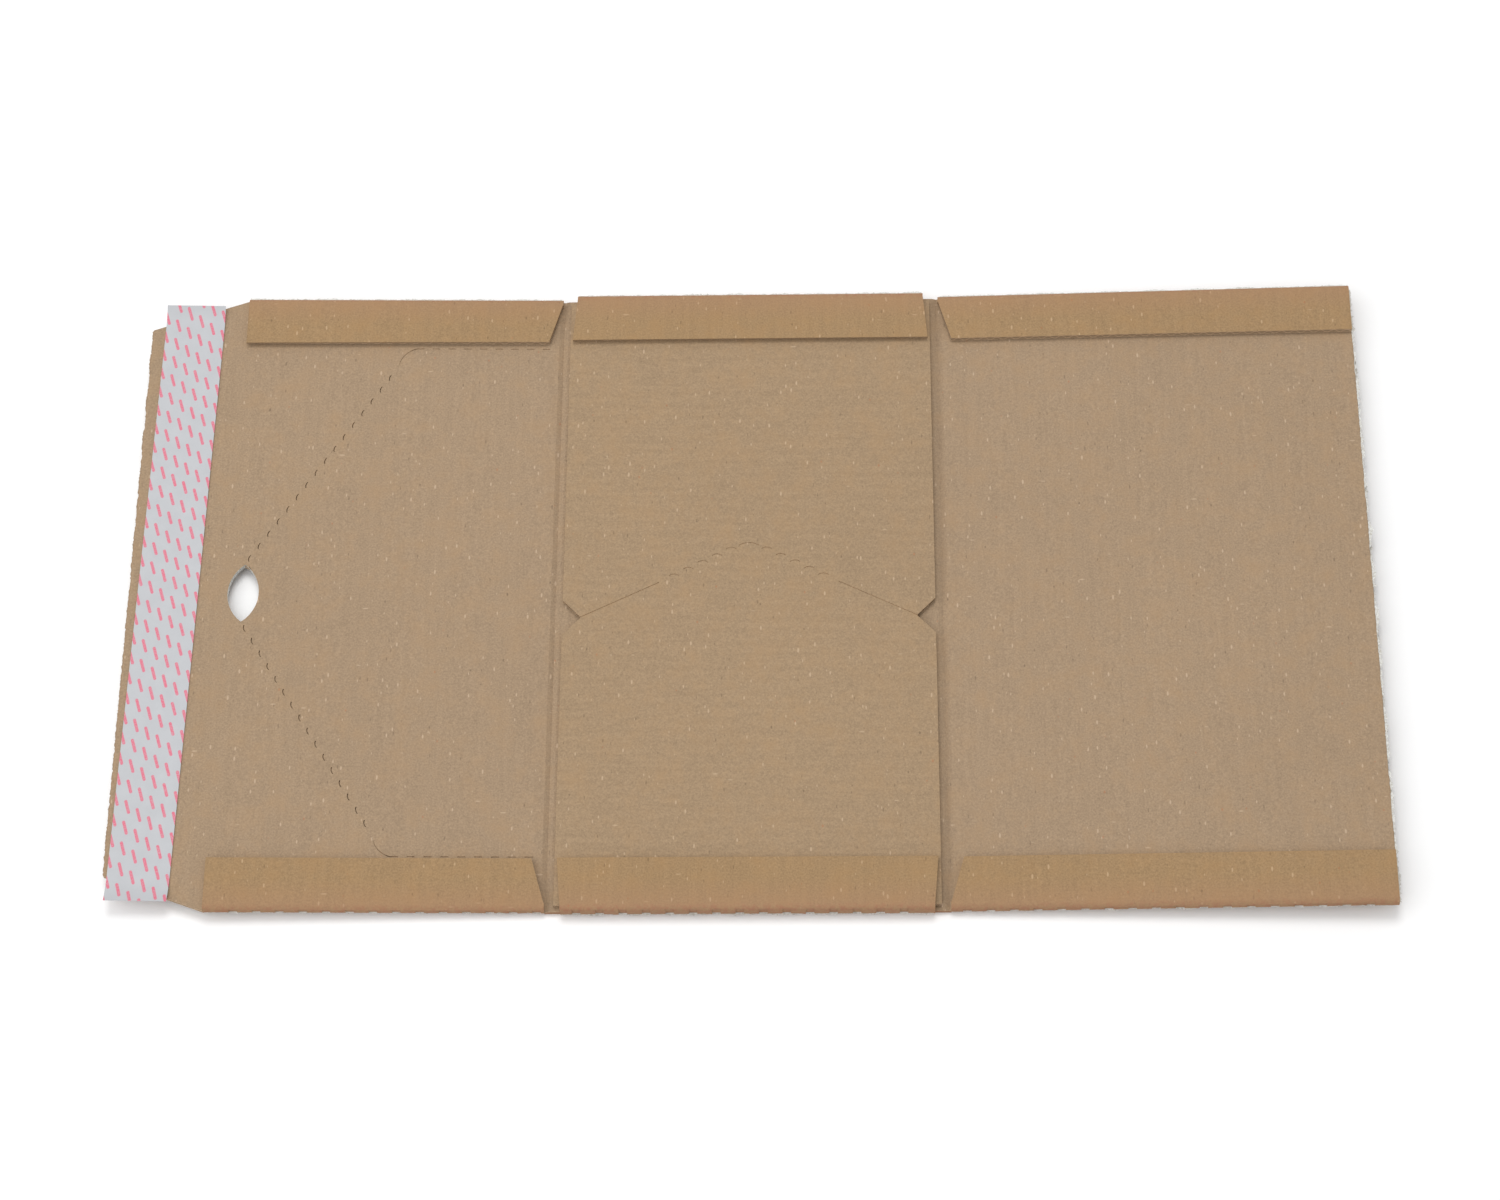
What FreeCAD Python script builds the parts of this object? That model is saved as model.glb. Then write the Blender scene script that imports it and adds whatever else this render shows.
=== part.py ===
import FreeCAD, Part
import math
import os
import re
import Sketcher

# A wrap-around book mailer of corrugated board, lying open and flat.
# X runs along the strip, from the closing flap (left, -X) to the plain end (right, +X).
# Y runs across it, along the flutes of the wrap, and Z is up from the face it lies on.
# The origin is the middle of the base panel's underside. All sizes are in millimetres,
# and the two wing angles are in degrees.

os.makedirs("parts", exist_ok=True)
doc = FreeCAD.newDocument("book_mailer")

SIZES = {
    # board
    "board": 3.0,               # thickness of the single-wall board
    "liner_paper": 0.45,        # face paper left on each side of a flute channel
    "flute_pitch": 6.5,
    "flute_wall": 0.45,         # thickness of the wavy paper between two channels
    # wrap, one blank
    "base_width": 190.0,        # between the two creases
    "blank_depth": 326.0,       # between the two raw edges of the blank
    "left_wing": 161.5,         # crease to the end of its hems
    "closing_flap": 48.5,       # from there to the raw end
    "flap_taper": 17.0,         # how far each side of the flap draws in
    "right_wing": 208.5,        # crease to the raw end
    "left_rise": 1.5,           # angle of each wing above the base
    "right_rise": 2.1,
    "crease_width": 7.0,
    "crease_depth": 0.9,
    # hems, the side strips folded over by 180 degrees
    "fold_gap": 0.3,            # air between a wing and its hem
    "fold_stand": 0.5,          # how far a fold stands past the blank's edge
    "wing_hem": 26.0,           # width of a wing's hem
    "wing_hem_start": 0.8,      # from the crease, at the fold
    "wing_hem_slant": 6.6,      # how far the slanted end runs back
    "centre_fold": 176.0,       # length of the centre fold
    "wall_back": 2.0,           # from the blank's edge in to the wall
    "overlap": 0.5,             # how far the panels run into each other
    "centre_hem_flare": 2.0,
    "centre_hem": 23.0,         # from the wall to the hem's raw edge
    "wall_round": 2.4,          # outer rounding of the centre fold
    "sheet_clear": 0.5,         # from the sheet's end to the wall
    "glue_line": 0.1,           # between the sheet and the hems over it
    "fold_cut": 4.0,            # cuts that perforate each fold
    "fold_cut_depth": 0.6,
    "fold_cut_pitch": 11.0,
    # tear opening in the left wing
    "hole_place": 154.0,        # crease to the middle of the thumb hole
    "hole_width": 15.4,
    "hole_length": 30.6,
    "slit": 0.5,                # width of every tear cut
    "hook_place": 152.6,        # crease to the first hooked cut
    "hook_start": 17.0,         # its distance from the middle
    "hook_chord": 3.5,
    "hook_lean": 0.8,
    "hook_radius": 3.2,
    "hook_step": 4.3,           # from one hook to the next, along X
    "hook_rise": 6.7,           # and along Y
    "hook_count": 16,
    "bend_run": 9.0,            # the curved cut after the last hook
    "bend_rise": 11.0,
    "bend_radius": 12.0,
    "dash": 3.8,
    "dash_pitch": 8.0,
    "dash_count": 9,
    "dash_start": 7.0,          # crease to the last dash
    "dash_place": 135.6,        # distance from the middle
    # inner sheet, laid across the base
    "sheet_width": 182.5,
    "notch": 9.2,               # depth of each side notch and half its opening
    "notch_place": 13.7,        # its tip is this far below the middle
    "cut_run": 38.0,            # the straight cut from each tip
    "cut_rise": 18.0,
    "arc_first": 39.2,          # from the middle to the outer end of the first arc
    "arc_place": 7.9,           # height of that end above the middle
    "arc_chord": 5.0,
    "arc_radius": 4.0,
    "arc_step": 7.0,
    "arc_rise": 3.55,
    "arc_count": 5,
    "peak_chord": 10.0,
    "peak_radius": 9.5,
    "peak_place": 24.0,
    # closing strip
    "tape_place": 6.5,          # flap's raw end to the tape
    "tape_width": 26.0,
    "tape_length": 290.0,
    "tape_thick": 0.3,
    "liner_place": 5.0,         # flap's raw end to the liner
    "liner_width": 29.0,
    "liner_length": 318.0,
    "liner_thick": 0.2,
}

sizes = doc.addObject("Spreadsheet::Sheet", "Sizes")
for row, (name, value) in enumerate(SIZES.items(), start=1):
    sizes.set("A%d" % row, name)
    sizes.set("B%d" % row, str(value))
    sizes.setAlias("B%d" % row, name)
doc.recompute()

ACROSS = FreeCAD.Vector(1, 0, 0)
ALONG = FreeCAD.Vector(0, 1, 0)
volumes = {}    # each body's volume after its last feature


def rule(text):
    """A size rule, with each word that names a size bound to its cell."""
    return re.sub(r"[a-z_]+", lambda word: "Sizes." + word.group() if word.group() in SIZES
                  else word.group(), str(text))


def number(text):
    """What a size rule comes to now."""
    found = sizes.evalExpression(rule(text))
    return float(getattr(found, "Value", found))


def bind(item, field, text):
    item.setExpression(field, rule(text))


def new_body(name):
    body = doc.addObject("PartDesign::Body", name)
    body.Label = name
    return body


def origin_plane(body, role):
    return [item for item in body.Origin.OriginFeatures if item.Role == role][0]


def attach(item, support):
    item.AttachmentSupport = [(support, "")]
    item.MapMode = "FlatFace"


def tilted_plane(body, name, role, shift, axis, angle, place):
    """A datum plane turned by a wing's angle about its crease."""
    plane = body.newObject("PartDesign::Plane", name)
    attach(plane, origin_plane(body, role))
    plane.AttachmentOffset = FreeCAD.Placement(FreeCAD.Vector(), FreeCAD.Rotation(axis, 1.0))
    bind(plane, "AttachmentOffset.Base." + shift, place)
    bind(plane, "AttachmentOffset.Rotation.Angle", angle)
    return plane


def new_sketch(body, name, support, height="0"):
    """A sketch on a plane, or lifted off it along its normal."""
    sketch = body.newObject("Sketcher::SketchObject", name)
    attach(sketch, support)
    if height != "0":
        bind(sketch, "AttachmentOffset.Base.z", height)
    return sketch


def place_point(sketch, line, end, place):
    """Holds one point of a sketch at a pair of size rules."""
    for kind, axis, text in (("DistanceX", -2, place[0]), ("DistanceY", -1, place[1])):
        if text == "0":
            sketch.addConstraint(Sketcher.Constraint("PointOnObject", line, end, axis))
        else:
            held = sketch.addConstraint(
                Sketcher.Constraint(kind, -1, 1, line, end, number(text)))
            bind(sketch, "Constraints[%d]" % held, text)


def spot(place):
    return FreeCAD.Vector(number(place[0]), number(place[1]), 0)


def add_arc(sketch, start, end, radius):
    """An arc that turns anticlockwise from start to end."""
    one, two = spot(start), spot(end)
    size = number(radius)
    half = (two - one) * 0.5
    rise = math.sqrt(size * size - half.Length * half.Length)
    centre = one + half + FreeCAD.Vector(-half.y, half.x, 0) * (rise / half.Length)
    begin = math.atan2(one.y - centre.y, one.x - centre.x)
    finish = math.atan2(two.y - centre.y, two.x - centre.x)
    if finish < begin:
        finish += 2 * math.pi
    circle = Part.Circle(centre, FreeCAD.Vector(0, 0, 1), size)
    arc = sketch.addGeometry(Part.ArcOfCircle(circle, begin, finish), False)
    place_point(sketch, arc, 1, start)
    place_point(sketch, arc, 2, end)
    held = sketch.addConstraint(Sketcher.Constraint("Radius", arc, size))
    bind(sketch, "Constraints[%d]" % held, radius)
    return arc


def outline(sketch, corners):
    """A closed outline through corners given as size rules.

    A corner with a third rule starts an anticlockwise arc of that radius to the next one.
    """
    count = len(corners)
    for i, corner in enumerate(corners):
        after = corners[(i + 1) % count]
        if len(corner) == 3:
            add_arc(sketch, corner[:2], after[:2], corner[2])
        else:
            side = sketch.addGeometry(Part.LineSegment(spot(corner), spot(after)), False)
            place_point(sketch, side, 1, corner)
            place_point(sketch, side, 2, after)


def curved_slit(sketch, start, end, radius, shift):
    """A thin cut bounded by two equal arcs, one shifted by the slit's width."""
    moved = [tuple("%s + %s" % pair for pair in zip(point, shift)) for point in (start, end)]
    near = add_arc(sketch, start, end, radius)
    far = add_arc(sketch, moved[0], moved[1], radius)
    for side in (1, 2):
        ends = [sketch.getPoint(arc, side) for arc in (near, far)]
        line = sketch.addGeometry(Part.LineSegment(ends[0], ends[1]), False)
        sketch.addConstraint(Sketcher.Constraint("Coincident", line, 1, near, side))
        sketch.addConstraint(Sketcher.Constraint("Coincident", line, 2, far, side))


def guide_line(sketch, start, end):
    """A construction line that gives a pattern its direction."""
    line = sketch.addGeometry(Part.LineSegment(spot(start), spot(end)), True)
    place_point(sketch, line, 1, start)
    place_point(sketch, line, 2, end)


def pad(body, name, sketch, length, reverse=False, middle=False):
    feature = body.newObject("PartDesign::Pad", name)
    feature.Profile = sketch
    feature.Reversed = reverse
    if middle:
        feature.SideType = "Symmetric"
    bind(feature, "Length", length)
    return finish(feature, 1)


def pocket(body, name, sketch, length=None, reverse=False):
    """A cut from a sketch, right through both ways when it has no length."""
    feature = body.newObject("PartDesign::Pocket", name)
    feature.Refine = False
    feature.Profile = sketch
    feature.Reversed = reverse
    if length is None:
        feature.Type = "ThroughAll"
        feature.SideType = "Symmetric"
    else:
        bind(feature, "Length", length)
    return finish(feature, -1)


def finish(feature, sign):
    """Builds one feature and checks that it adds or removes what it should."""
    body = feature.getParentGeoFeatureGroup()
    doc.recompute()
    if feature.Shape.isNull() or "Invalid" in feature.State:
        raise RuntimeError("%s was not built" % feature.Name)
    gain = feature.Shape.Volume - volumes.get(body.Name, 0.0)
    if sign * gain <= 1e-3:
        raise RuntimeError("%s changes nothing (%.3f mm3)" % (feature.Name, gain))
    volumes[body.Name] = feature.Shape.Volume
    body.Tip = feature
    return feature


def repeat(body, name, features, sign, sketch=None, axis="", length="0", count="1", mirror=None):
    """Copies features along a line, across a mirror plane, or both."""
    steps = []
    if sketch is not None:
        row = doc.addObject("PartDesign::LinearPattern", name + "_row")
        row.Direction = (sketch, [axis])
        bind(row, "Length", length)
        bind(row, "Occurrences", count)
        steps.append(row)
    if mirror is not None:
        pair = doc.addObject("PartDesign::Mirrored", name + "_pair")
        pair.MirrorPlane = (origin_plane(body, mirror), [""])
        steps.append(pair)
    many = body.newObject("PartDesign::MultiTransform", name)
    many.Refine = sign > 0
    many.Originals = features
    for step in steps:
        body.addObject(step)
    many.Transformations = steps
    body.Tip = many
    return finish(many, sign)


# Outer wrap: one blank, scored, hemmed along both sides and laid open.

wrap = new_body("outer_wrap")
level = origin_plane(wrap, "XY_Plane")
upright = origin_plane(wrap, "YZ_Plane")
side_on = origin_plane(wrap, "XZ_Plane")
left = tilted_plane(wrap, "left_level", "XY_Plane", "x", ALONG, "left_rise", "-base_width / 2")
right = tilted_plane(wrap, "right_level", "XY_Plane", "x", ALONG, "-right_rise", "base_width / 2")
left_end_on = tilted_plane(wrap, "left_end_on", "YZ_Plane", "z", ACROSS, "left_rise",
                           "-base_width / 2")
right_end_on = tilted_plane(wrap, "right_end_on", "YZ_Plane", "z", ACROSS, "-right_rise",
                            "base_width / 2")

EDGE = "blank_depth / 2"
FOLD_RADIUS = "(board + fold_gap / 2)"
FOLD_AXIS = "(blank_depth / 2 + fold_stand - board - fold_gap / 2)"
WALL_IN = "(blank_depth / 2 - wall_back)"
WALL_OUT = "(blank_depth / 2 - wall_back + board)"
SHEET_TOP = "(2 * board + glue_line)"


def mirrored_outline(half):
    """The corners of a plan that is the same on both sides of the X axis."""
    other = [(x, "-(%s)" % y) for x, y in reversed(half)]
    return half + other


# Base panel, narrower where the centre hems fold up from it
half = [
    ("-base_width / 2", EDGE),
    ("-centre_fold / 2", EDGE),
    ("-centre_fold / 2", WALL_IN + " + overlap"),
    ("centre_fold / 2", WALL_IN + " + overlap"),
    ("centre_fold / 2", EDGE),
    ("base_width / 2", EDGE),
]
plan = new_sketch(wrap, "base_plan", level)
outline(plan, mirrored_outline(half))
pad(wrap, "base_panel", plan, "board")

# Left wing with the tapered closing flap
half = [
    ("-left_wing - closing_flap", EDGE + " - flap_taper"),
    ("-left_wing", EDGE),
    ("-left_wing", FOLD_AXIS),
    ("-wing_hem_start", FOLD_AXIS),
    ("-wing_hem_start", EDGE),
    ("overlap / 2", EDGE),
]
plan = new_sketch(wrap, "left_plan", left)
outline(plan, mirrored_outline(half))
pad(wrap, "left_panel", plan, "board")

# Right wing
half = [
    ("-overlap / 2", EDGE),
    ("wing_hem_start", EDGE),
    ("wing_hem_start", FOLD_AXIS),
    ("right_wing", FOLD_AXIS),
]
plan = new_sketch(wrap, "right_plan", right)
outline(plan, mirrored_outline(half))
pad(wrap, "right_panel", plan, "board")

# Creases pressed into the upper face beside the base, before the hems fold over their ends
section = new_sketch(wrap, "crease_section", side_on)
outline(section, [
    ("-base_width / 2 - crease_width / 2", "board + overlap"),
    ("-base_width / 2", "board - crease_depth"),
    ("-base_width / 2 + crease_width / 2", "board + overlap"),
])
crease = pocket(wrap, "crease", section)
repeat(wrap, "creases", [crease], -1, mirror="YZ_Plane")

# Wing hems: a slab over each side, and the rounded fold that joins it to the wing
HEM_EDGE = EDGE + " + fold_stand - wing_hem"
plan = new_sketch(wrap, "left_hem_plan", left, "board + fold_gap")
outline(plan, [
    ("-wing_hem_start", FOLD_AXIS),
    ("-left_wing", FOLD_AXIS),
    ("-left_wing", HEM_EDGE),
    ("-wing_hem_start - wing_hem_slant", HEM_EDGE),
])
left_hem = pad(wrap, "left_hem", plan, "board")
plan = new_sketch(wrap, "right_hem_plan", right, "board + fold_gap")
outline(plan, [
    ("wing_hem_start", FOLD_AXIS),
    ("right_wing", FOLD_AXIS),
    ("right_wing", HEM_EDGE),
    ("wing_hem_start + wing_hem_slant", HEM_EDGE),
])
right_hem = pad(wrap, "right_hem", plan, "board")


def fold_round(name, support, length, reverse):
    """The half-round outside of a fold, as thick as both layers and the air between them."""
    start = "-wing_hem_start" if reverse else "wing_hem_start"
    section = new_sketch(wrap, name + "_section", support, start)
    outline(section, [
        (FOLD_AXIS + " - 1", "0"),
        (FOLD_AXIS, "0", FOLD_RADIUS),
        (FOLD_AXIS + " + " + FOLD_RADIUS, FOLD_RADIUS, FOLD_RADIUS),
        (FOLD_AXIS, "2 * " + FOLD_RADIUS),
        (FOLD_AXIS + " - 1", "2 * " + FOLD_RADIUS),
    ])
    return pad(wrap, name, section, length, reverse)


left_fold = fold_round("left_fold", left_end_on, "left_wing - wing_hem_start", True)
right_fold = fold_round("right_fold", right_end_on, "right_wing - wing_hem_start", False)

# Centre hems: a wall past the end of the inner sheet, and a strip laid over it. The wall is
# rounded where the board turns up and where it turns over.
section = new_sketch(wrap, "wall_section", upright)
WALL_TOP = "(3 * board + glue_line)"
outline(section, [
    (WALL_IN, "0"),
    (WALL_OUT + " - wall_round", "0", "wall_round"),
    (WALL_OUT, "wall_round"),
    (WALL_OUT, WALL_TOP + " - wall_round", "wall_round"),
    (WALL_OUT + " - wall_round", WALL_TOP),
    (WALL_IN, WALL_TOP),
])
wall = pad(wrap, "centre_wall", section, "centre_fold", middle=True)
plan = new_sketch(wrap, "centre_hem_plan", level, SHEET_TOP)
outline(plan, [
    ("-centre_fold / 2", WALL_IN + " + overlap"),
    ("centre_fold / 2", WALL_IN + " + overlap"),
    ("centre_fold / 2 + centre_hem_flare", WALL_IN + " - centre_hem"),
    ("-centre_fold / 2 - centre_hem_flare", WALL_IN + " - centre_hem"),
])
centre_hem = pad(wrap, "centre_hem_slab", plan, "board")
repeat(wrap, "hem_pairs", [left_hem, right_hem, left_fold, right_fold, wall, centre_hem], 1,
       mirror="XZ_Plane")

# Cuts that perforate the folds, so that the board turns over without bursting


def fold_cuts(name, support, start, length, reach, tall, direction):
    """A row of shallow cuts along the outside of a fold, on both sides of the wrap."""
    plan = new_sketch(wrap, name + "_plan", support)
    near = reach + " - fold_cut_depth"
    first = start + " + " + direction + " * fold_cut_pitch / 2"
    outline(plan, [
        (first, near),
        (first + " + fold_cut", near),
        (first + " + fold_cut", reach + " + 1"),
        (first, reach + " + 1"),
    ])
    guide_line(plan, (first, "0"), (first + " + " + direction + " * fold_cut_pitch", "0"))
    cut = pocket(wrap, name, plan, tall, reverse=True)
    count = "floor((%s) / fold_cut_pitch - 0.5)" % length
    return repeat(wrap, name + "_row", [cut], -1, sketch=plan, axis="Axis0",
                  length="fold_cut_pitch * (%s - 1)" % count, count=count, mirror="XZ_Plane")


FOLD_REACH = "(blank_depth / 2 + fold_stand)"
TWO_LAYERS = "2 * board + 1"
fold_cuts("left_fold_cut", left, "-wing_hem_start", "left_wing - wing_hem_start", FOLD_REACH,
          TWO_LAYERS, "-1")
fold_cuts("right_fold_cut", right, "wing_hem_start", "right_wing - wing_hem_start", FOLD_REACH,
          TWO_LAYERS, "1")
fold_cuts("centre_fold_cut", level, "-centre_fold / 2", "centre_fold", WALL_OUT,
          "3 * board + 1", "1")

# Thumb hole, a lens cut through the left wing
plan = new_sketch(wrap, "hole_plan", left)
HOLE_RADIUS = "(hole_length * hole_length / 4 + hole_width * hole_width / 4) / hole_width"
top, bottom = ("-hole_place", "hole_length / 2"), ("-hole_place", "-hole_length / 2")
arcs = [add_arc(plan, top, bottom, HOLE_RADIUS), add_arc(plan, bottom, top, HOLE_RADIUS)]
pocket(wrap, "thumb_hole", plan)

# Tear lines: hooked cuts that fan out from the hole
plan = new_sketch(wrap, "hook_plan", left)
start = ("-hook_place + hook_lean", "hook_start + hook_chord")
end = ("-hook_place", "hook_start")
curved_slit(plan, start, end, "hook_radius", ("slit", "0"))
guide_line(plan, end, ("-hook_place + hook_step", "hook_start + hook_rise"))
hook = pocket(wrap, "hook", plan)
repeat(wrap, "hooks", [hook], -1, sketch=plan, axis="Axis0",
       length="sqrt(hook_step ^ 2 + hook_rise ^ 2) * (hook_count - 1)", count="hook_count",
       mirror="XZ_Plane")

# A curved cut turns each tear line parallel to the hem, and dashes carry it on
plan = new_sketch(wrap, "bend_plan", left)
LAST_X = "-hook_place + hook_step * hook_count"
LAST_Y = "dash_place - bend_rise"
curved_slit(plan, (LAST_X + " + bend_run", "dash_place"), (LAST_X, LAST_Y), "bend_radius",
            ("0", "slit"))
bend = pocket(wrap, "bend", plan)
repeat(wrap, "bends", [bend], -1, mirror="XZ_Plane")

plan = new_sketch(wrap, "dash_plan", left)
outline(plan, [
    ("-dash_start", "dash_place"),
    ("-dash_start", "dash_place + slit"),
    ("-dash_start - dash", "dash_place + slit"),
    ("-dash_start - dash", "dash_place"),
])
guide_line(plan, ("-dash_start", "0"), ("-dash_start - dash_pitch", "0"))
dash = pocket(wrap, "dash", plan)
repeat(wrap, "dashes", [dash], -1, sketch=plan, axis="Axis0",
       length="dash_pitch * (dash_count - 1)", count="dash_count", mirror="XZ_Plane")

# Inner sheet: a second piece of board whose flutes run along X, held under the centre hems

inner = new_body("inner_sheet")
inner_level = origin_plane(inner, "XY_Plane")
inner_end_on = origin_plane(inner, "YZ_Plane")
SHEET_X = "sheet_width / 2"
SHEET_Y = "(blank_depth / 2 - wall_back - sheet_clear)"
right_side = [
    (SHEET_X, "-" + SHEET_Y),
    (SHEET_X, "-notch_place - notch"),
    (SHEET_X + " - notch", "-notch_place"),
    (SHEET_X, "-notch_place + notch"),
    (SHEET_X, SHEET_Y),
]
left_side = [("-(%s)" % x, y) for x, y in reversed(right_side)]
plan = new_sketch(inner, "sheet_plan", inner_level, "board")
outline(plan, right_side + left_side)
pad(inner, "sheet", plan, "board")

# Flutes that run right through from side to side
section = new_sketch(inner, "flute_section", inner_end_on)
LOW = "(board + liner_paper)"
HIGH = "(2 * board - liner_paper)"
SPARE = "(2 * %s - floor(2 * %s / flute_pitch) * flute_pitch) / 2" % (SHEET_Y, SHEET_Y)
FIRST = "-%s + %s" % (SHEET_Y, SPARE)
outline(section, [
    (FIRST + " + flute_wall", LOW),
    (FIRST + " + flute_pitch - flute_wall", LOW),
    (FIRST + " + flute_pitch / 2", HIGH + " - flute_wall"),
])
outline(section, [
    (FIRST + " + flute_pitch / 2 + flute_wall", HIGH),
    (FIRST + " + flute_pitch", LOW + " + flute_wall"),
    (FIRST + " + 3 * flute_pitch / 2 - flute_wall", HIGH),
])
guide_line(section, (FIRST, "0"), (FIRST + " + flute_pitch", "0"))
flute = pocket(inner, "flute", section)
FLUTES = "(floor(2 * %s / flute_pitch) - 1)" % SHEET_Y
repeat(inner, "flutes", [flute], -1, sketch=section, axis="Axis0",
       length="flute_pitch * (%s - 1)" % FLUTES, count=FLUTES)

# Tear line between the notches: a straight cut from each tip, then hooked cuts to the middle
plan = new_sketch(inner, "cut_plan", inner_level, "board")
TIP = "-sheet_width / 2 + notch"
outline(plan, [
    (TIP + " - overlap", "-notch_place - overlap / 2"),
    (TIP + " + cut_run", "-notch_place + cut_rise"),
    (TIP + " + cut_run - slit / 2", "-notch_place + cut_rise + slit"),
    (TIP + " - overlap", "-notch_place - overlap / 2 + slit"),
])
straight = pocket(inner, "straight_cut", plan)
repeat(inner, "straight_cuts", [straight], -1, mirror="YZ_Plane")

plan = new_sketch(inner, "arc_plan", inner_level, "board")
outer_end = ("-arc_first", "arc_place")
inner_end = ("-arc_first + arc_chord", "arc_place")
curved_slit(plan, inner_end, outer_end, "arc_radius", ("0", "slit"))
guide_line(plan, outer_end, ("-arc_first + arc_step", "arc_place + arc_rise"))
arc = pocket(inner, "arc", plan)
repeat(inner, "arcs", [arc], -1, sketch=plan, axis="Axis0",
       length="sqrt(arc_step ^ 2 + arc_rise ^ 2) * (arc_count - 1)", count="arc_count",
       mirror="YZ_Plane")

plan = new_sketch(inner, "peak_plan", inner_level, "board")
curved_slit(plan, ("peak_chord / 2", "peak_place"), ("-peak_chord / 2", "peak_place"),
            "peak_radius", ("0", "slit"))
pocket(inner, "peak", plan)


# Closing strip: hot-melt tape on the flap, under a siliconed paper liner that is longer than it


def strip(name, place, width, length, height, thick):
    """A flat strip lying across the closing flap, at a height above the wing's underside."""
    body = new_body(name)
    tilted = tilted_plane(body, name + "_level", "XY_Plane", "x", ALONG, "left_rise",
                          "-base_width / 2")
    start = "-left_wing - closing_flap + " + place
    plan = new_sketch(body, name + "_plan", tilted, height)
    half = [(start, length + " / 2"), (start + " + " + width, length + " / 2")]
    outline(plan, mirrored_outline(half))
    pad(body, name + "_layer", plan, thick)
    return body


tape = strip("adhesive_strip", "tape_place", "tape_width", "tape_length", "board", "tape_thick")
cover = strip("release_liner", "liner_place", "liner_width", "liner_length",
              "board + tape_thick", "liner_thick")

doc.recompute()
for item in doc.Objects:
    if "Invalid" in item.State or "Error" in item.State:
        raise RuntimeError("%s has failed" % item.Label)
for body in (wrap, inner, tape, cover):
    if body.Shape.isNull() or not body.Shape.isValid() or len(body.Shape.Solids) != 1:
        raise RuntimeError("%s is not one sound solid" % body.Label)
    body.Shape.exportStep("parts/%s.step" % body.Label)
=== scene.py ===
import bpy
import math
from mathutils import Matrix, Vector, noise as field


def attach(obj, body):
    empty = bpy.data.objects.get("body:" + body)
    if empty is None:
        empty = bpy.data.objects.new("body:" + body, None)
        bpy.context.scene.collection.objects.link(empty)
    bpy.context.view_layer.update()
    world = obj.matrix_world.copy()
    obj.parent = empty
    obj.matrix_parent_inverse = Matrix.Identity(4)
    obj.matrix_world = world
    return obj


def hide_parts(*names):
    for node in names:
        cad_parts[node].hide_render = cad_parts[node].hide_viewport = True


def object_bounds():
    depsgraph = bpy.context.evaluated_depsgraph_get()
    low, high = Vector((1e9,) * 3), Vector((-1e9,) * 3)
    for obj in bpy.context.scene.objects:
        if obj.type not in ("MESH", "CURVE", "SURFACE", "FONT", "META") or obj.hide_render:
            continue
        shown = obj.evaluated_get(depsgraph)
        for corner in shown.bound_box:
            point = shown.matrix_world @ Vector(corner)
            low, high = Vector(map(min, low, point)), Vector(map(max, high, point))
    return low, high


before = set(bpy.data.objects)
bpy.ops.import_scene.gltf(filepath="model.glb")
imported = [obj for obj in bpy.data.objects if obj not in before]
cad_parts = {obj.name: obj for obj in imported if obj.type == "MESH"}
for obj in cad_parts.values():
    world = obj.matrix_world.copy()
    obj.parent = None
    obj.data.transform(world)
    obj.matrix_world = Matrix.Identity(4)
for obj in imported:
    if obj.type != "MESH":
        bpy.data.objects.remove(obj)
cad_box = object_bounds()
MM = 0.001

# The table: a big sheet of matt white card, rolled level, on which the open mailer lies.
# Its fibre is too fine to see; it only catches the soft shadow round the board.


def clear_picks():
    bpy.ops.object.select_all(action="DESELECT")


def new_material(name, rough, gloss=0.25):
    """A finish with its shader and its node tree."""
    made = bpy.data.materials.new(name)
    made.use_nodes = True
    shader = made.node_tree.nodes["Principled BSDF"]
    shader.inputs["Roughness"].default_value = rough
    shader.inputs["Specular IOR Level"].default_value = gloss
    return made, shader, made.node_tree


def feed(tree, value, socket):
    """Gives a socket a number, a colour, or another node's output."""
    if isinstance(value, bpy.types.NodeSocket):
        tree.links.new(value, socket)
    elif isinstance(value, tuple) and len(value) == 3 and socket.type == "RGBA":
        socket.default_value = (*value, 1)
    else:
        socket.default_value = value


def work(tree, operation, *values):
    """Puts values through one sum, product or other operation."""
    node = tree.nodes.new("ShaderNodeMath")
    node.operation = operation
    for value, socket in zip(values, node.inputs):
        feed(tree, value, socket)
    return node.outputs[0]


def ramp(tree, value, low, high, bottom=0.0, top=1.0):
    """Runs a value from one range to another, held at both ends."""
    node = tree.nodes.new("ShaderNodeMapRange")
    for number, socket in zip((value, low, high, bottom, top), node.inputs):
        feed(tree, number, socket)
    return node.outputs[0]


def tint(tree, amount, under, over):
    """Lays one colour over another by an amount from 0 to 1."""
    node = tree.nodes.new("ShaderNodeMix")
    node.data_type = "RGBA"
    feed(tree, amount, node.inputs[0])
    feed(tree, under, node.inputs[6])
    feed(tree, over, node.inputs[7])
    return node.outputs[2]


def stretched(tree, place, scale, turn=0.0):
    """The place turned about Z and scaled along each axis, for drawn-out patterns."""
    node = tree.nodes.new("ShaderNodeMapping")
    node.inputs["Scale"].default_value = scale
    node.inputs["Rotation"].default_value = (0, 0, turn)
    tree.links.new(place, node.inputs["Vector"])
    return node.outputs["Vector"]


def cloud(tree, place, scale, detail=2.0, rough=0.5):
    """Soft noise from 0 to 1."""
    node = tree.nodes.new("ShaderNodeTexNoise")
    node.inputs["Scale"].default_value = scale
    node.inputs["Detail"].default_value = detail
    node.inputs["Roughness"].default_value = rough
    tree.links.new(place, node.inputs["Vector"])
    return node.outputs["Fac"]


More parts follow.
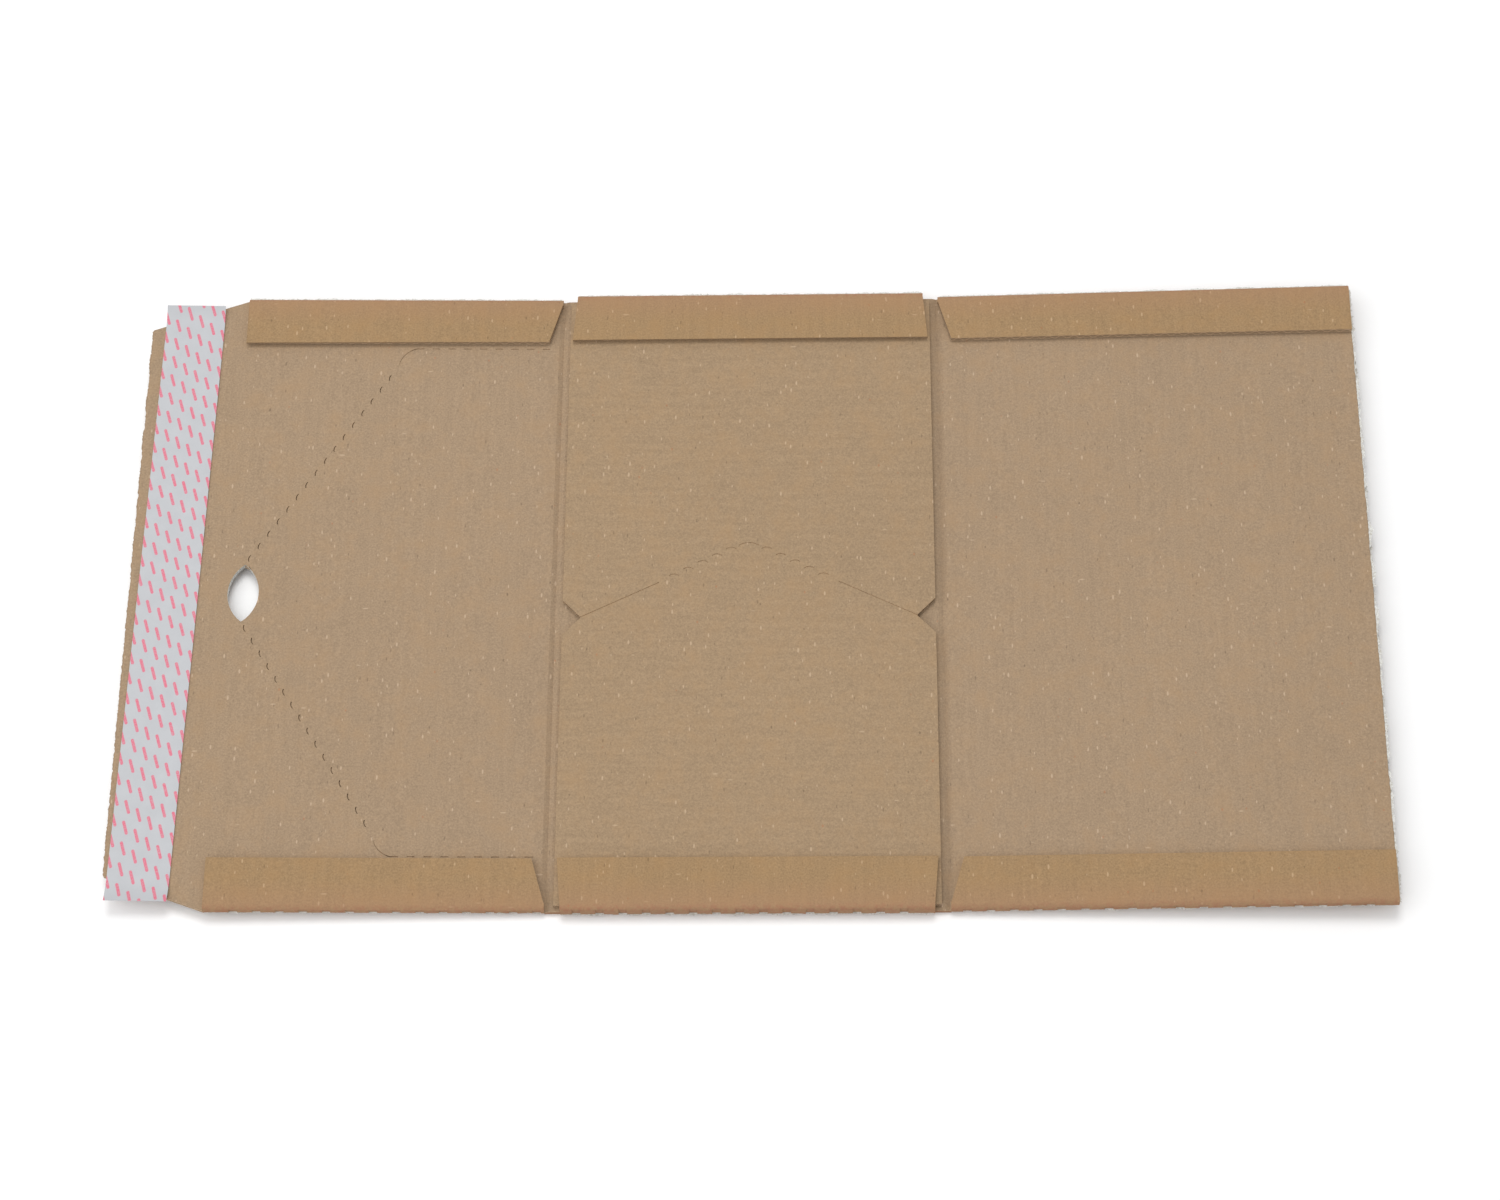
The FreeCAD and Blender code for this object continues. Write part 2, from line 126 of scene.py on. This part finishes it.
clear_picks()
bpy.ops.mesh.primitive_plane_add(size=8.0, location=(0, 0, cad_box[0][2] - 0.1 * MM))
table = bpy.context.object
table.name = "table"
bpy.ops.object.transform_apply(location=True, rotation=True, scale=True)
table_card, shader, tree = new_material("table_card", 0.95, 0.1)
place = tree.nodes.new("ShaderNodeTexCoord").outputs["Object"]
card_tone = tint(tree, cloud(tree, place, 300.0), (0.93, 0.93, 0.93), (0.94, 0.94, 0.94))
feed(tree, card_tone, shader.inputs["Base Color"])
table.data.materials.append(table_card)

# Outer wrap: one die-cut blank of single-wall corrugated board, greyish on the inside and
# yellower outside. Both sides are folded over as hems and glued. The fluting shows through the
# face papers as faint even ribs, as bumps and as painted rib shade in the colour, and recycled
# pulp leaves flecks, specks and short fibres.

FLUTE = 6.5 * MM
BOARD = 3.0 * MM
HALF_BASE = 95.0 * MM
LEFT_RISE, RIGHT_RISE = math.tan(math.radians(1.5)), math.tan(math.radians(2.1))
INSIDE = (0.337, 0.240, 0.154)
OUTSIDE = (0.325, 0.211, 0.109)
# Paler raw pulp, lightened further as painted light against the shade on the upright cut walls.
CUT_PULP_AND_PAINTED_LIGHT = (0.50, 0.36, 0.235)
FOLD_LINE = 160.2 * MM
FLAP_START = -256.6 * MM
WING_HEM = 3.3 * MM
CENTRE_HEM = 6.1 * MM
UNDERCUT = 0.9 * MM
INNER, OUTER, CUT, PAINTED_LIGHT_HOLE_WALL = 0, 1, 2, 3     # the finishes of the wrap, in order
FACING = 0.9
PLATE = 0.1


def fibres(tree, place, tone, pulp):
    """Flecks lighter than the pulp, dark specks, and short straight fibres."""
    light = tuple(min(0.85, part * 1.45 + 0.07) for part in pulp)
    dark = tuple(part * 0.38 for part in pulp)
    rust = (pulp[0] * 1.15, pulp[1] * 0.66, pulp[2] * 0.5)
    for scale, squash, turn, keep, size, colour, strength in (
            (430.0, (1.0, 0.4, 1.0), 0.4, 0.62, 0.17, light, 0.6),
            (300.0, (0.28, 1.0, 1.0), 1.1, 0.85, 0.09, light, 0.5),
            (240.0, (1.0, 0.6, 1.0), 2.3, 0.86, 0.08, dark, 0.5),
            (420.0, (1.0, 0.35, 1.0), 0.9, 0.74, 0.13, dark, 0.4),
            (260.0, (1.0, 0.7, 1.0), 1.9, 0.90, 0.10, rust, 0.45)):
        cells = tree.nodes.new("ShaderNodeTexVoronoi")
        cells.inputs["Scale"].default_value = scale
        tree.links.new(stretched(tree, place, squash, turn), cells.inputs["Vector"])
        parts = tree.nodes.new("ShaderNodeSeparateColor")
        tree.links.new(cells.outputs["Color"], parts.inputs[0])
        chosen = work(tree, "GREATER_THAN", parts.outputs[0], keep)
        reach = work(tree, "MULTIPLY", parts.outputs[1], size)
        near = ramp(tree, cells.outputs["Distance"], work(tree, "ADD", reach, 0.08), reach)
        tone = tint(tree, work(tree, "MULTIPLY", work(tree, "MULTIPLY", near, chosen), strength),
                    tone, colour)
    return tone


def face_paper(name, pulp, ribs, painted_rib_shade=0.008, relief=0.02 * MM, perforated=False):
    """The finish of one face of the board. Its ribs follow one another along X or along Y."""
    made, shader, tree = new_material(name, 0.9)
    place = tree.nodes.new("ShaderNodeTexCoord").outputs["Object"]
    axes = tree.nodes.new("ShaderNodeSeparateXYZ")
    tree.links.new(place, axes.inputs[0])
    drift = work(tree, "MULTIPLY", cloud(tree, place, 16.0), 0.9)
    phase = work(tree, "MULTIPLY_ADD", axes.outputs[ribs], 2 * math.pi / FLUTE, drift)
    rib = work(tree, "SINE", phase)
    broad = cloud(tree, place, 7.0, 3.0)
    mottle = cloud(tree, place, 85.0, 4.0, 0.65)
    grain = cloud(tree, place, 1100.0, 2.0, 0.7)
    along = (1.0, 0.1, 1.0) if ribs == "X" else (0.1, 1.0, 1.0)
    streak = cloud(tree, stretched(tree, place, along), 520.0, 3.0, 0.6)
    # Painted rib shade: the colour darkens and lightens along each flute, as the washboard would.
    shade = work(tree, "MULTIPLY_ADD", rib, painted_rib_shade, 1.0)
    for part, depth in ((broad, 0.10), (mottle, 0.16), (grain, 0.8), (streak, 0.18)):
        patch = work(tree, "MULTIPLY_ADD", part, depth, 1 - depth / 2)
        shade = work(tree, "MULTIPLY", shade, patch)
    scaled = tree.nodes.new("ShaderNodeVectorMath")
    scaled.operation = "SCALE"
    scaled.inputs[0].default_value = pulp
    tree.links.new(shade, scaled.inputs["Scale"])
    warm = (pulp[0] * 1.06, pulp[1] * 0.97, pulp[2] * 0.84)
    tone = tint(tree, ramp(tree, mottle, 0.45, 0.75, 0.0, 0.5), scaled.outputs[0], warm)
    tone = fibres(tree, place, tone, pulp)
    if perforated:
        out = work(tree, "ABSOLUTE", axes.outputs["Y"])
        flush = ramp(tree, out, 148.0 * MM, 163.0 * MM, 0.0, 0.4)
        tone = tint(tree, flush, tone, (0.37, 0.205, 0.125))
        band = ramp(tree, out, FOLD_LINE, 163.4 * MM)
        torn = ramp(tree, cloud(tree, place, 420.0, 3.0, 0.7), 0.42, 0.62)
        tone = tint(tree, work(tree, "MULTIPLY", band, work(tree, "MULTIPLY", torn, 0.7)), tone,
                    (0.33, 0.15, 0.09))
    feed(tree, tone, shader.inputs["Base Color"])
    height = work(tree, "MULTIPLY", rib, relief)
    for part, depth in ((mottle, 0.10), (grain, 0.05), (streak, 0.04)):
        height = work(tree, "MULTIPLY_ADD", part, depth * MM, height)
    bump = tree.nodes.new("ShaderNodeBump")
    bump.inputs["Strength"].default_value = 0.75
    bump.inputs["Distance"].default_value = 1.0
    tree.links.new(height, bump.inputs["Height"])
    tree.links.new(bump.outputs["Normal"], shader.inputs["Normal"])
    return made


def cut_paper(name, pulp):
    """The raw cut edge: two face papers and the wavy paper between, over gaps of painted shade.
    """
    made, shader, tree = new_material(name, 0.95, 0.1)
    place = tree.nodes.new("ShaderNodeTexCoord").outputs["Object"]
    layer = tree.nodes.new("ShaderNodeUVMap")
    layer.uv_map = "edge"
    axes = tree.nodes.new("ShaderNodeSeparateXYZ")
    tree.links.new(layer.outputs[0], axes.inputs[0])
    wave = work(tree, "SINE", work(tree, "MULTIPLY", axes.outputs["X"], 2 * math.pi))
    middle = work(tree, "MULTIPLY_ADD", wave, 0.36, 0.5)
    off = work(tree, "ABSOLUTE", work(tree, "SUBTRACT", axes.outputs["Y"], middle))
    wavy = ramp(tree, off, 0.16, 0.09)
    rim = work(tree, "ABSOLUTE", work(tree, "SUBTRACT", axes.outputs["Y"], 0.5))
    paper = work(tree, "MAXIMUM", wavy, ramp(tree, rim, 0.34, 0.38))
    fuzz = cloud(tree, place, 900.0, 4.0, 0.7)
    # Painted shade: the open flute channels between the papers are coloured dark.
    dark = tuple(part * 0.68 for part in pulp)
    light = tuple(part * 1.2 for part in pulp)
    tone = tint(tree, paper, dark, tint(tree, fuzz, pulp, light))
    feed(tree, tone, shader.inputs["Base Color"])
    bump = tree.nodes.new("ShaderNodeBump")
    bump.inputs["Strength"].default_value = 0.6
    bump.inputs["Distance"].default_value = 1.0
    lift = work(tree, "MULTIPLY_ADD", paper, 0.3 * MM, work(tree, "MULTIPLY", fuzz, 0.1 * MM))
    tree.links.new(lift, bump.inputs["Height"])
    tree.links.new(bump.outputs["Normal"], shader.inputs["Normal"])
    return made


def board_copy(node, name, finishes):
    """A merged copy of a solid's mesh, to be dressed in its place."""
    clear_picks()
    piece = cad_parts[node].copy()
    piece.data = piece.data.copy()
    piece.name = piece.data.name = name
    bpy.context.collection.objects.link(piece)
    bpy.context.view_layer.objects.active = piece
    piece.select_set(True)
    piece.data.materials.clear()
    bpy.ops.object.mode_set(mode="EDIT")
    bpy.ops.mesh.select_all(action="SELECT")
    bpy.ops.mesh.remove_doubles(threshold=0.001 * MM)
    bpy.ops.object.mode_set(mode="OBJECT")
    for finish in finishes:
        piece.data.materials.append(finish)
    return piece


def wing_rise(x):
    """How far the underside has risen at a place along the strip."""
    if x < -HALF_BASE:
        return (-HALF_BASE - x) * LEFT_RISE
    return max(0.0, x - HALF_BASE) * RIGHT_RISE


def map_edges(piece, finish, layer_start):
    """Lays the flute pattern of the cut finish along every raw edge."""
    edge = piece.data.uv_layers.new(name="edge")
    for face in piece.data.polygons:
        if face.material_index != finish:
            continue
        across = abs(face.normal.y) > abs(face.normal.x)
        for loop in face.loop_indices:
            x, y, z = piece.data.vertices[piece.data.loops[loop].vertex_index].co
            run = x / FLUTE if across else 0.25 + y / FLUTE * 0.08
            edge.data[loop].uv = (run, (z - wing_rise(x) - layer_start(face)) / BOARD)


def back_cuts(piece, places):
    """Paper left whole just under the tear cuts, so that they show as fine pressed lines."""
    for x, y, level, length, width, lean in places:
        clear_picks()
        bpy.ops.mesh.primitive_cube_add(size=1)
        plate = bpy.context.object
        for point in plate.data.vertices:
            run, across, tall = point.co.x * length * MM, point.co.y * width * MM, point.co.z
            spot_x = x * MM + run * math.cos(lean) - across * math.sin(lean)
            spot_y = y * MM + run * math.sin(lean) + across * math.cos(lean)
            point.co = (spot_x, spot_y, wing_rise(spot_x) + (level + tall * PLATE) * MM)
        plate.data.materials.append(piece.data.materials[0])
        piece.select_set(True)
        bpy.context.view_layer.objects.active = piece
        bpy.ops.object.join()


def settle(piece, node):
    """Lets a finished copy stand for its solid."""
    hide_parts(node)
    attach(piece, "root")


wrap_inside = face_paper("wrap_inside", INSIDE, "X")
wrap_outside = face_paper("wrap_outside", OUTSIDE, "X", 0.014, perforated=True)
wrap_cut = cut_paper("wrap_cut", CUT_PULP_AND_PAINTED_LIGHT)
wrap = board_copy("outer_wrap", "wrap_board", (wrap_inside, wrap_outside, wrap_cut))


def hem_layer(face):
    """The height of the folded layer that a face is on, or 0 for the first layer."""
    x, y, z = face.center
    height = z - wing_rise(x)
    if abs(x) < HALF_BASE:
        return CENTRE_HEM if height > CENTRE_HEM else 0.0
    return WING_HEM if height > WING_HEM else 0.0


for face in wrap.data.polygons:
    x, y, z = face.center
    on_hem = z - wing_rise(x) > BOARD * 1.5
    round_fold = abs(y) > FOLD_LINE and abs(face.normal.x) < 0.5 and x > FLAP_START
    if face.normal.z > FACING:
        face.material_index = OUTER if on_hem else INNER
    elif face.normal.z < -FACING or round_fold:
        face.material_index = OUTER
    else:
        face.material_index = CUT
lower_edge = {corner for face in wrap.data.polygons for corner in face.vertices
              if face.normal.y < -FACING and face.center.y > 0 and hem_layer(face)
              and wrap.data.vertices[corner].co.z < face.center.z}
for corner in lower_edge:
    wrap.data.vertices[corner].co.y += UNDERCUT
wrap.data.update()
map_edges(wrap, CUT, hem_layer)
back_cuts(wrap, [place for side in (1, -1) for place in (
    (-215.5, side * 69.0, 1.7, 128.0, 8.0, side * 1.0),
    (-136.0, side * 135.85, 2.5, 76.0, 2.0, 0.0),
    (-174.6, side * 130.3, 2.5, 17.0, 5.0, side * 0.86))])
settle(wrap, "outer_wrap")

# Torn ends: the blank is cut off the web at both ends along a flute, and the knife leaves a
# ragged fringe of fluting. The perforated folds also burst a little and show pale fibres. The
# cut wall of the thumb hole takes the same pale finish as painted light, against the shade
# that falls in the hole.

torn_pulp_and_hole_light, shader, tree = new_material("torn_pulp_and_hole_light", 0.95, 0.1)
place = tree.nodes.new("ShaderNodeTexCoord").outputs["Object"]
shred = cloud(tree, place, 800.0, 4.0, 0.75)
feed(tree, tint(tree, ramp(tree, shred, 0.35, 0.6), (0.48, 0.46, 0.41), (0.72, 0.72, 0.69)),
     shader.inputs["Base Color"])
HOLE_PLACE, HOLE_HALF_WIDTH, HOLE_HALF_LENGTH = -249.0 * MM, 8.0 * MM, 15.4 * MM
wrap.data.materials.append(torn_pulp_and_hole_light)
# Painted light: the thumb hole's cut wall takes the pale finish, lifting the shade in the hole.
for face in wrap.data.polygons:
    x, y, z = face.center
    hole_wall_painted_light = abs(x - HOLE_PLACE) < HOLE_HALF_WIDTH and abs(y) < HOLE_HALF_LENGTH
    if face.material_index == CUT and hole_wall_painted_light:
        face.material_index = PAINTED_LIGHT_HOLE_WALL
rough_pulp = face_paper("rough_pulp", tuple(part * 0.9 for part in INSIDE), "X")
BITE = 1.6 * MM
GRID_STEP = 0.7
FRINGE_WALL = 0.25 * MM
RIGHT_END, LEFT_END = 303.2, -304.8
WING_SIDE, BASE_SIDE = 162.9, 163.8


def fringe(name, across, edge, out, start, stop, level, reach, finish, seed):
    """A thin torn strip along an edge. It stands out along axis 0 or 1."""
    clear_picks()
    bpy.ops.mesh.primitive_grid_add(x_subdivisions=3, size=1,
                                    y_subdivisions=int((stop - start) / GRID_STEP))
    strip = bpy.context.object
    strip.name = strip.data.name = name
    for point in strip.data.vertices:
        share = point.co.x + 0.5
        run = (start + (point.co.y + 0.5) * (stop - start)) * MM
        spot = Vector((seed, run * 90, 0))
        torn = 0.5 + 0.6 * field.noise(spot) + 0.5 * field.noise(spot * 4.1)
        torn += 0.45 * field.noise(spot * 13.0)
        far = edge * MM + out * (share * (BITE + reach * MM * max(0.02, torn)) - BITE)
        x, y = (far, run) if across == 0 else (run, far)
        droop = (-0.25 * share * share + 0.2 * field.noise(spot * 3.0) * share) * MM
        point.co = (x, y, level * MM + wing_rise(x) + droop)
    bpy.context.view_layer.objects.active = strip
    wall = strip.modifiers.new("wall", "SOLIDIFY")
    wall.thickness = FRINGE_WALL
    wall.offset = 0
    bpy.ops.object.modifier_apply(modifier=wall.name)
    bpy.ops.object.mode_set(mode="EDIT")
    bpy.ops.mesh.select_all(action="SELECT")
    bpy.ops.mesh.normals_make_consistent(inside=False)
    bpy.ops.object.mode_set(mode="OBJECT")
    strip.data.materials.append(finish)
    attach(strip, "root")


for level, reach, finish, seed in ((2.8, 0.5, rough_pulp, 3), (2.55, 2.4, torn_pulp_and_hole_light, 11),
                                   (0.5, 2.2, torn_pulp_and_hole_light, 23)):
    fringe("right_end_%d" % seed, 0, RIGHT_END, 1, -162.0, 162.0, level, reach, finish, seed)
for level, reach, finish, seed in ((2.8, 0.9, rough_pulp, 31), (0.4, 1.0, rough_pulp, 37)):
    fringe("left_end_%d" % seed, 0, LEFT_END, -1, -145.5, 145.5, level, reach, finish, seed)
for out in (1, -1):
    side = "back" if out > 0 else "front"
    wing_level, base_level = (5.0, 7.6) if out > 0 else (2.4, 2.8)
    for number, (edge, start, stop, level) in enumerate((
            (WING_SIDE, -256.0, -96.5, wing_level), (BASE_SIDE, -87.5, 87.5, base_level),
            (WING_SIDE, 96.5, 302.8, wing_level))):
        fringe("%s_fold_%d" % (side, number), 1, out * edge, out, start, stop, level, 1.05,
               torn_pulp_and_hole_light, 41 + number * 3 + out)

# Inner sheet: a second piece of the same board with its flutes the other way, so that the pack
# is stiff both ways. It is held under the glued centre hems and has its own tear line.

SHEET_PULP = (0.334, 0.234, 0.142)
sheet_face = face_paper("sheet_face", SHEET_PULP, "Y", 0.012)
sheet_cut = cut_paper("sheet_cut", CUT_PULP_AND_PAINTED_LIGHT)
sheet = board_copy("inner_sheet", "sheet_board", (sheet_face, sheet_cut))
for face in sheet.data.polygons:
    face.material_index = 0 if abs(face.normal.z) > FACING else 1
map_edges(sheet, 1, lambda face: BOARD)
back_cuts(sheet, [(0.0, 24.6, 5.6, 12.0, 4.0, 0.0)] + [place for side in (1, -1) for place in (
    (side * 63.0, -4.6, 5.6, 43.0, 2.4, side * -0.443),
    (side * 22.7, 15.4, 5.6, 38.0, 4.5, side * -0.41))])
settle(sheet, "inner_sheet")

# Closing strip: a band of hot-melt glue laid across the flap in one pass, slightly rippled
# and a little askew.

tape_glue, shader, tree = new_material("tape_glue", 0.3, 0.5)
place = tree.nodes.new("ShaderNodeTexCoord").outputs["Object"]
swirl = cloud(tree, stretched(tree, place, (1.0, 0.15, 1.0)), 260.0, 3.0)
feed(tree, tint(tree, swirl, (0.60, 0.50, 0.28), (0.72, 0.63, 0.40)), shader.inputs["Base Color"])
tape = board_copy("adhesive_strip", "glue_band", (tape_glue,))
LINER_MIDDLE = Vector((-285.8, 0, 0)) * MM
ASKEW = math.radians(-0.9)
for point in tape.data.vertices:
    x, y, z = point.co
    askew_x = x - y * math.sin(ASKEW)
    point.co = (askew_x, y, z + wing_rise(askew_x) - wing_rise(x))
settle(tape, "adhesive_strip")

# Release liner: siliconed bluish-white paper over the glue, as askew as the glue and longer
# than the flap, with both ends lifting. It carries a repeat of short pink strokes.

LINER_WIDTH, LINER_LENGTH = 29.8 * MM, 318.0 * MM
LINER_LEVEL = 3.42 * MM
LINER_WALL = 0.15 * MM
LIFT_START = 146 * MM
LIFT = 14.0
clear_picks()
bpy.ops.mesh.primitive_grid_add(x_subdivisions=16, y_subdivisions=160, size=1, location=(0, 0, 0))
liner = bpy.context.object
liner.name = liner.data.name = "liner_paper"
printed = liner.data.uv_layers.new(name="print")
for loop in liner.data.loops:
    x, y, z = liner.data.vertices[loop.vertex_index].co
    printed.data[loop.index].uv = (x * LINER_WIDTH / MM, y * LINER_LENGTH / MM)
for point in liner.data.vertices:
    x, y, z = point.co
    x, y = x * LINER_WIDTH, y * LINER_LENGTH
    beyond = max(0.0, abs(y) - LIFT_START)
    ripple = 0.12 * MM * field.noise(Vector((x * 60, y * 40, 2.0)))
    ripple += 0.06 * MM * field.noise(Vector((x * 200, y * 120, 5.0)))
    x, y = (x * math.cos(ASKEW) - y * math.sin(ASKEW), x * math.sin(ASKEW) + y * math.cos(ASKEW))
    x += LINER_MIDDLE.x
    lift = LINER_LEVEL + max(0.0, ripple) + LIFT * beyond * beyond
    point.co = (x, y, wing_rise(x) + lift)
bpy.context.view_layer.objects.active = liner
wall = liner.modifiers.new("wall", "SOLIDIFY")
wall.thickness = LINER_WALL
wall.offset = 0
bpy.ops.object.modifier_apply(modifier=wall.name)
bpy.ops.object.shade_smooth_by_angle(angle=0.6)

liner_print, shader, tree = new_material("liner_print", 0.45, 0.4)
place = tree.nodes.new("ShaderNodeTexCoord").outputs["Object"]
layer = tree.nodes.new("ShaderNodeUVMap")
layer.uv_map = "print"
axes = tree.nodes.new("ShaderNodeSeparateXYZ")
tree.links.new(layer.outputs[0], axes.inputs[0])
ROW, STEP, STROKE, STROKE_WIDTH, SLANT = 5.8, 10.4, 2.9, 0.75, 0.32
row_number = work(tree, "FLOOR", work(tree, "DIVIDE", axes.outputs["X"], ROW))
shifted = work(tree, "MULTIPLY_ADD", row_number, STEP * 0.38, axes.outputs["Y"])
inside_row = work(tree, "SUBTRACT", work(tree, "FLOORED_MODULO", axes.outputs["X"], ROW), ROW / 2)
inside_step = work(tree, "SUBTRACT", work(tree, "FLOORED_MODULO", shifted, STEP), STEP / 2)
lean = work(tree, "MULTIPLY_ADD", inside_row, math.cos(SLANT),
            work(tree, "MULTIPLY", inside_step, math.sin(SLANT)))
run = work(tree, "SUBTRACT", work(tree, "MULTIPLY", inside_step, math.cos(SLANT)),
           work(tree, "MULTIPLY", inside_row, math.sin(SLANT)))
past = work(tree, "MAXIMUM", work(tree, "SUBTRACT", work(tree, "ABSOLUTE", run), STROKE), 0.0)
gap = work(tree, "SQRT", work(tree, "ADD", work(tree, "MULTIPLY", past, past),
                              work(tree, "MULTIPLY", lean, lean)))
ink = ramp(tree, gap, STROKE_WIDTH + 0.12, STROKE_WIDTH - 0.12)
wear = ramp(tree, cloud(tree, place, 1500.0, 2.0), 0.3, 0.6, 0.6, 0.95)
paper = tint(tree, cloud(tree, place, 120.0, 3.0), (0.423, 0.432, 0.451), (0.484, 0.494, 0.512))
feed(tree, tint(tree, work(tree, "MULTIPLY", ink, wear), paper, (0.66, 0.12, 0.19)),
     shader.inputs["Base Color"])
liner.data.materials.append(liner_print)
settle(liner, "release_liner")

# Light and camera: an even white room, a window behind that draws the thin shadows under the
# hems, and a broad wall of light on the left. The camera looks down from in front.

ROOM_LIGHT = 0.62
scene = bpy.context.scene
scene.view_settings.view_transform = "Standard"
room = bpy.data.worlds.new("room")
room.use_nodes = True
room.node_tree.nodes["Background"].inputs["Color"].default_value = (1, 1, 1, 1)
room.node_tree.nodes["Background"].inputs["Strength"].default_value = ROOM_LIGHT
scene.world = room


def window(name, size, power, spot):
    light = bpy.data.lights.new(name, "AREA")
    light.energy = power
    light.size = size
    pane = bpy.data.objects.new(name, light)
    pane.location = spot
    pane.rotation_euler = (-Vector(spot)).to_track_quat("-Z", "Y").to_euler()
    scene.collection.objects.link(pane)


window("window", 1.1, 26.0, (0.0, 1.0, 2.6))
window("wall_light", 3.0, 33.0, (-1.5, -0.5, 2.0))

PHOTO_WIDTH = 1500
FOCAL = 3015
HEADING, ELEVATION, ROLL = (math.radians(angle) for angle in (3.99, 66.73, -4.07))
DISTANCE = 1.482
AIM = Vector((0.45, -2.57, 0)) * MM
back = Vector((math.sin(HEADING) * math.cos(ELEVATION), -math.cos(HEADING) * math.cos(ELEVATION),
               math.sin(ELEVATION)))
level = Vector((math.cos(HEADING), math.sin(HEADING), 0))
side = math.cos(ROLL) * level + math.sin(ROLL) * back.cross(level)
camera_lens = bpy.data.cameras.new("camera")
camera_lens.sensor_width = 36
camera_lens.lens = 36 * FOCAL / PHOTO_WIDTH
camera = bpy.data.objects.new("camera", camera_lens)
turn = Matrix((side, back.cross(side), back)).transposed().to_4x4()
camera.matrix_world = Matrix.Translation(AIM + back * DISTANCE) @ turn
scene.collection.objects.link(camera)
scene.camera = camera
